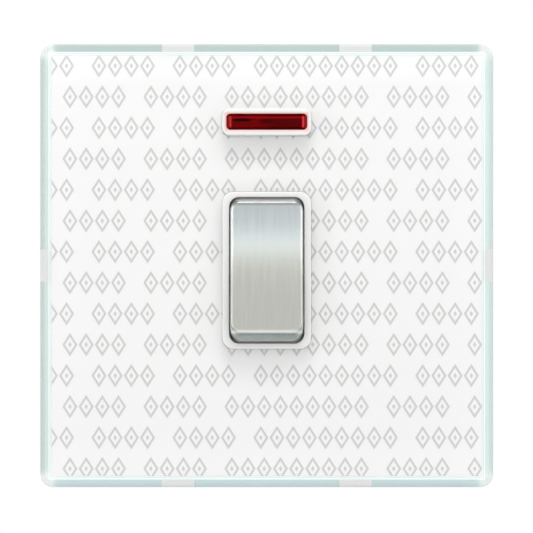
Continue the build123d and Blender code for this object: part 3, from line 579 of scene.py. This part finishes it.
# Clamp screws: zinc-plated steel, turned, with a rolled thread and a single driver slot.
# Four hold the supply and load cables in the brass blocks and one the earth cable. They are backed
# out by hand to leave the cable bores clear, so the slots stand at odd angles.
class Recipe:
    """A geometry node tree for one kind of small part, with a named input for each of its sizes."""

    def __init__(self, name, *sizes):
        self.tree = bpy.data.node_groups.new(name, "GeometryNodeTree")
        self.keys = {}
        for label in sizes:
            socket = self.tree.interface.new_socket(
                label, in_out="INPUT", socket_type="NodeSocketFloat"
            )
            self.keys[label] = socket.identifier
        self.tree.interface.new_socket("Part", in_out="OUTPUT", socket_type="NodeSocketGeometry")
        self.size = self.tree.nodes.new("NodeGroupInput").outputs

    def add(self, kind, settings=None, **sockets):
        node = self.tree.nodes.new(kind)
        for key, value in (settings or {}).items():
            setattr(node, key, value)
        for key, value in sockets.items():
            self.feed(node.inputs[key.replace("_", " ")], value)
        return node

    def feed(self, target, value):
        if isinstance(value, bpy.types.NodeSocket):
            self.tree.links.new(value, target)
        else:
            target.default_value = value

    def math(self, operation, *values):
        node = self.add("ShaderNodeMath", {"operation": operation})
        for socket, value in zip(node.inputs, values):
            self.feed(socket, value)
        return node.outputs[0]

    def lift(self, shape, height):
        place = self.add("ShaderNodeCombineXYZ", Z=height).outputs[0]
        return self.add("GeometryNodeTransform", Geometry=shape, Translation=place).outputs[0]

    def end(self, shape, material):
        real = self.add("GeometryNodeRealizeInstances", Geometry=shape)
        finish = self.add("GeometryNodeSetMaterial", Geometry=real.outputs[0], Material=material)
        last = self.tree.nodes.new("NodeGroupOutput")
        self.tree.links.new(finish.outputs[0], last.inputs[0])

    def make(self, name, **sizes):
        """Works the tree out with these sizes and returns its result as one plain mesh object."""
        blank = bpy.data.objects.new(name + "_blank", bpy.data.meshes.new(name + "_blank"))
        bpy.context.scene.collection.objects.link(blank)
        run = blank.modifiers.new("sizes", "NODES")
        run.node_group = self.tree
        for key, value in sizes.items():
            run[self.keys[key.replace("_", " ")]] = value
        ready = blank.evaluated_get(bpy.context.evaluated_depsgraph_get())
        mesh = bpy.data.meshes.new_from_object(ready)
        mesh.name = name
        blank.modifiers.remove(run)
        bpy.data.objects.remove(blank)
        piece = bpy.data.objects.new(name, mesh)
        bpy.context.scene.collection.objects.link(piece)
        return piece


screw = Recipe(
    "slotted_clamp_screw",
    "Across", "Down", "Columns", "Rows", "Shank Radius", "Shank Length", "Thread Radius",
    "Thread Pitch", "Head Radius", "Head Height", "Head Edge", "Slot Width", "Slot Depth",
)
size = screw.size
shank_length, thread_radius = size["Shank Length"], size["Thread Radius"]
head_radius, head_edge = size["Head Radius"], size["Head Edge"]

# A plain core with a ridge wound round it makes the threaded shank.
core_radius = screw.math("SUBTRACT", size["Shank Radius"], thread_radius)
core_length = screw.math("ADD", shank_length, head_edge)
core = screw.add("GeometryNodeMeshCylinder", Vertices=32, Radius=core_radius, Depth=core_length)
core = screw.lift(core.outputs["Mesh"], screw.math("DIVIDE", core_length, 2.0))
thread_length = screw.math("SUBTRACT", shank_length, thread_radius)
thread_line = screw.add(
    "GeometryNodeCurveSpiral",
    Resolution=24,
    Rotations=screw.math("DIVIDE", thread_length, size["Thread Pitch"]),
    Start_Radius=core_radius,
    End_Radius=core_radius,
    Height=thread_length,
)
ridge = screw.add("GeometryNodeCurvePrimitiveCircle", Resolution=6, Radius=thread_radius)
thread = screw.add(
    "GeometryNodeCurveToMesh",
    Curve=thread_line.outputs[0], Profile_Curve=ridge.outputs[0], Fill_Caps=True,
)
thread = screw.lift(thread.outputs[0], thread_radius)

# The head is a drum with a chamfered top, joined to the shank and cut across for the driver.
drum_height = screw.math("SUBTRACT", size["Head Height"], head_edge)
drum = screw.add("GeometryNodeMeshCylinder", Vertices=48, Radius=head_radius, Depth=drum_height)
drum_middle = screw.math("ADD", shank_length, screw.math("DIVIDE", drum_height, 2.0))
drum = screw.lift(drum.outputs["Mesh"], drum_middle)
chamfer = screw.add(
    "GeometryNodeMeshCone",
    Vertices=48,
    Radius_Bottom=head_radius,
    Radius_Top=screw.math("SUBTRACT", head_radius, head_edge),
    Depth=head_edge,
)
chamfer = screw.lift(chamfer.outputs["Mesh"], screw.math("ADD", shank_length, drum_height))
whole = screw.add("GeometryNodeMeshBoolean", {"operation": "UNION", "solver": "EXACT"})
for part in (core, thread, drum, chamfer):
    screw.feed(whole.inputs[1], part)
cutter_size = screw.add(
    "ShaderNodeCombineXYZ",
    X=screw.math("MULTIPLY", head_radius, 2.5),
    Y=size["Slot Width"],
    Z=screw.math("MULTIPLY", size["Slot Depth"], 2.0),
)
cutter = screw.add("GeometryNodeMeshCube", Size=cutter_size.outputs[0])
cutter = screw.lift(cutter.outputs["Mesh"], screw.math("ADD", shank_length, size["Head Height"]))
slotted = screw.add("GeometryNodeMeshBoolean", {"operation": "DIFFERENCE", "solver": "EXACT"})
screw.feed(slotted.inputs[0], whole.outputs[0])
screw.feed(slotted.inputs[1], cutter)

# Round faces are shaded smooth and edges past this angle stay crisp.
CRISP_ANGLE = 0.6
soft = screw.add("GeometryNodeSetShadeSmooth", Geometry=slotted.outputs[0])
bend = screw.add("GeometryNodeInputMeshEdgeAngle").outputs["Unsigned Angle"]
gentle = screw.add("FunctionNodeCompare", {"operation": "LESS_THAN"}, A=bend, B=CRISP_ANGLE)
crisp = screw.add("GeometryNodeSetShadeSmooth", {"domain": "EDGE"}, Geometry=soft.outputs[0])
screw.feed(crisp.inputs["Shade Smooth"], gentle.outputs["Result"])
places = screw.add(
    "GeometryNodeMeshGrid",
    Size_X=size["Across"], Size_Y=size["Down"], Vertices_X=size["Columns"], Vertices_Y=size["Rows"],
)
slot_turn = screw.add(
    "FunctionNodeRandomValue",
    {"data_type": "FLOAT_VECTOR"},
    Min=(0.0, 0.0, 0.0), Max=(0.0, 0.0, math.pi), Seed=11,
)
screws = screw.add(
    "GeometryNodeInstanceOnPoints",
    Points=places.outputs["Mesh"], Instance=crisp.outputs[0], Rotation=slot_turn.outputs[0],
)
screw.end(screws.outputs[0], plated.material)

CLAMP_HEAD_RADIUS, CLAMP_HEAD_HEIGHT, CLAMP_HEAD_EDGE = 0.0023, 0.0016, 0.0003
CLAMP_SHANK_RADIUS, CLAMP_THREAD_RADIUS, CLAMP_THREAD_PITCH = 0.0015, 0.0002, 0.0006
DRIVER_SLOT = 0.0008
into_wall = Matrix.Rotation(-math.pi / 2, 4, "X")
for name, node, columns, rows in (
    ("clamp_screws", "terminal_screws", 2, 2),
    ("earth_clamp_screw", "earth_screw", 1, 1),
):
    low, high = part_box(node)
    piece = screw.make(
        name,
        Across=high[0] - low[0] - 2 * CLAMP_HEAD_RADIUS,
        Down=high[2] - low[2] - 2 * CLAMP_HEAD_RADIUS,
        Columns=float(columns),
        Rows=float(rows),
        Shank_Radius=CLAMP_SHANK_RADIUS,
        Shank_Length=high[1] - low[1] - CLAMP_HEAD_HEIGHT,
        Thread_Radius=CLAMP_THREAD_RADIUS,
        Thread_Pitch=CLAMP_THREAD_PITCH,
        Head_Radius=CLAMP_HEAD_RADIUS,
        Head_Height=CLAMP_HEAD_HEIGHT,
        Head_Edge=CLAMP_HEAD_EDGE,
        Slot_Width=DRIVER_SLOT,
        Slot_Depth=DRIVER_SLOT,
    )
    middle = Vector(((low[0] + high[0]) / 2, low[1], (low[2] + high[2]) / 2))
    piece.data.transform(Matrix.Translation(middle) @ into_wall)
    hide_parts(node)
    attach(piece, "housing")


# Rocker cap: stainless steel, drawn to a shallow dished cup, brushed up and down the dish and
# pressed over the moulded carrier. The steel is cooler at the top of the dish and warmer below
# its middle. Painted highlights brighten its side edges, weaker towards the bottom, a line along
# its low edge, its top wall and its low lip; painted shade darkens a band just under its top edge
# and turns its low end wall darker and bluer.
COOL_ABOVE, WARM_BELOW = 0.008, -0.001
SIDE_EDGE, SIDE_EDGE_FULL = 0.0064, 0.0070
SIDE_HIGHLIGHT_LOW, SIDE_HIGHLIGHT_HIGH, SIDE_HIGHLIGHT_LOW_SHARE = -0.004, 0.003, 0.25
LOW_EDGE, LOW_EDGE_FADE, LOW_EDGE_CORE = -0.01305, 0.00055, 0.00015
LOW_WALL, LOW_WALL_FULL = -0.0131, -0.0134
LOW_LIP, LOW_LIP_FULL = -0.0145, -0.0148
TOP_EDGE, TOP_EDGE_FULL = 0.0118, 0.0121
TOP_WALL, TOP_WALL_FULL = 0.0127, 0.0129
PAINTED_HIGHLIGHT_SHARE = 0.75
satin = Finish("satin_steel")
x, _, z = satin.axes()
fine = satin.grain(2600, 3, (1, 0.35, 0.03))
broad = satin.grain(900, 2, (1, 0.35, 0.06))
strokes = satin.math("ADD", satin.times(fine, 0.7), satin.times(broad, 0.3))
warmth = satin.ramp(z, COOL_ABOVE, WARM_BELOW)
dull = satin.blend(warmth, (0.455, 0.50, 0.505), (0.475, 0.485, 0.445))
bright = satin.blend(warmth, (0.49, 0.535, 0.54), (0.50, 0.51, 0.47))
steel = satin.blend(satin.ramp(strokes, 0.25, 0.75), dull, bright)
# Painted shade: a darker band just under the top edge.
steel = satin.blend(satin.ramp(z, TOP_EDGE, TOP_EDGE_FULL), steel, (0.35, 0.365, 0.365))
# Painted shade: the low end wall turns darker and bluer.
steel = satin.blend(satin.ramp(z, LOW_WALL, LOW_WALL_FULL), steel, (0.385, 0.445, 0.43))
# Painted highlight along the side edges, weaker towards the bottom.
side_edge_highlight = satin.times(
    satin.ramp(satin.math("ABSOLUTE", x), SIDE_EDGE, SIDE_EDGE_FULL),
    satin.ramp(z, SIDE_HIGHLIGHT_LOW, SIDE_HIGHLIGHT_HIGH, SIDE_HIGHLIGHT_LOW_SHARE, 1.0),
)
# Painted highlights: the side edges, a line along the low edge, the top wall and the low lip.
painted_highlight = satin.most(
    side_edge_highlight,
    satin.near(z, LOW_EDGE, LOW_EDGE_FADE, LOW_EDGE_CORE),
    satin.ramp(z, TOP_WALL, TOP_WALL_FULL),
    satin.ramp(z, LOW_LIP, LOW_LIP_FULL),
)
satin.set(
    Base_Color=satin.blend(satin.times(painted_highlight, PAINTED_HIGHLIGHT_SHARE), steel, (0.90, 0.91, 0.90)),
    Metallic=1.0,
    Roughness=satin.ramp(strokes, 0.3, 0.7, 0.19, 0.22),
    Anisotropic=0.3,
)
satin.bump(strokes, 0.00001, 0.05)
dress(satin, "rocker_cap")


# Plungers: natural nylon pins, moulded, slightly waxy.
# Each slides in a tower of the rocker carrier and presses on its contact arm.
nylon = Finish("natural_nylon")
nylon.set(
    Base_Color=nylon.blend(nylon.grain(700, 2), (0.78, 0.76, 0.68), (0.84, 0.82, 0.75)),
    Roughness=0.4,
    Subsurface_Weight=0.1,
    Subsurface_Scale=0.001,
)
nylon.bump(nylon.grain(2500, 2), 0.00001, 0.15)
dress(nylon, *(f"plunger_{pole}" for pole in POLES))


# Plunger springs: one coil of bright drawn steel wire in each tower, its turns closed up at both
# ends. Each stands on the carrier's floor and pushes the plunger out.
wire = bright_metal("drawn_spring_wire", 1500, (0.50, 0.51, 0.53), (0.62, 0.63, 0.65), 0.28)
coil = Recipe("closed_end_coil", "Turns", "Coil Radius", "Length", "Wire Radius", "Closing")
size = coil.size
helix = coil.add(
    "GeometryNodeCurveSpiral",
    Resolution=20,
    Rotations=size["Turns"],
    Start_Radius=size["Coil Radius"],
    End_Radius=size["Coil Radius"],
    Height=size["Length"],
)

# A wave along the coil moves its turns towards both ends.
share = coil.add("GeometryNodeSplineParameter").outputs["Factor"]
wave = coil.math("SINE", coil.math("MULTIPLY", share, math.tau))
wave = coil.math("MULTIPLY", wave, size["Closing"])
shift = coil.math("MULTIPLY", wave, coil.math("DIVIDE", size["Length"], -math.tau))
offset = coil.add("ShaderNodeCombineXYZ", Z=shift)
closed = coil.add("GeometryNodeSetPosition", Geometry=helix.outputs[0], Offset=offset.outputs[0])
round_wire = coil.add("GeometryNodeCurvePrimitiveCircle", Resolution=10, Radius=size["Wire Radius"])
wound = coil.add(
    "GeometryNodeCurveToMesh",
    Curve=closed.outputs[0], Profile_Curve=round_wire.outputs[0], Fill_Caps=True,
)
smooth = coil.add("GeometryNodeSetShadeSmooth", Geometry=wound.outputs[0])
coil.end(smooth.outputs[0], wire.material)

REST_TILT = math.radians(6)
TOWER_OFFSET, TOWER_FLOOR, PLUNGER_BACK, PLUNGER_TRAVEL = 0.0038, -0.0046, 0.00385, 0.0015
SPRING_TURNS, SPRING_RADIUS, WIRE_RADIUS, END_CLOSING = 8.0, 0.00125, 0.0002, 0.6
pivot = Vector((0, -0.0024, -0.0009))
tower_line = Vector((0, math.cos(REST_TILT), -math.sin(REST_TILT)))
along_tower = Vector((0, 0, 1)).rotation_difference(tower_line).to_matrix().to_4x4()
room = PLUNGER_BACK - TOWER_FLOOR
for pole, side in zip(POLES, (-TOWER_OFFSET, TOWER_OFFSET)):
    spring = coil.make(
        f"{pole}_plunger_spring",
        Turns=SPRING_TURNS,
        Coil_Radius=SPRING_RADIUS,
        Length=room - 2 * WIRE_RADIUS,
        Wire_Radius=WIRE_RADIUS,
        Closing=END_CLOSING,
    )
    foot = pivot + tower_line * TOWER_FLOOR + Vector((side, 0, 0))
    spring.data.transform(Matrix.Translation(foot + tower_line * WIRE_RADIUS) @ along_tower)
    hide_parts(f"plunger_spring_{pole}")
    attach(spring, "rocker")
    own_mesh(spring)
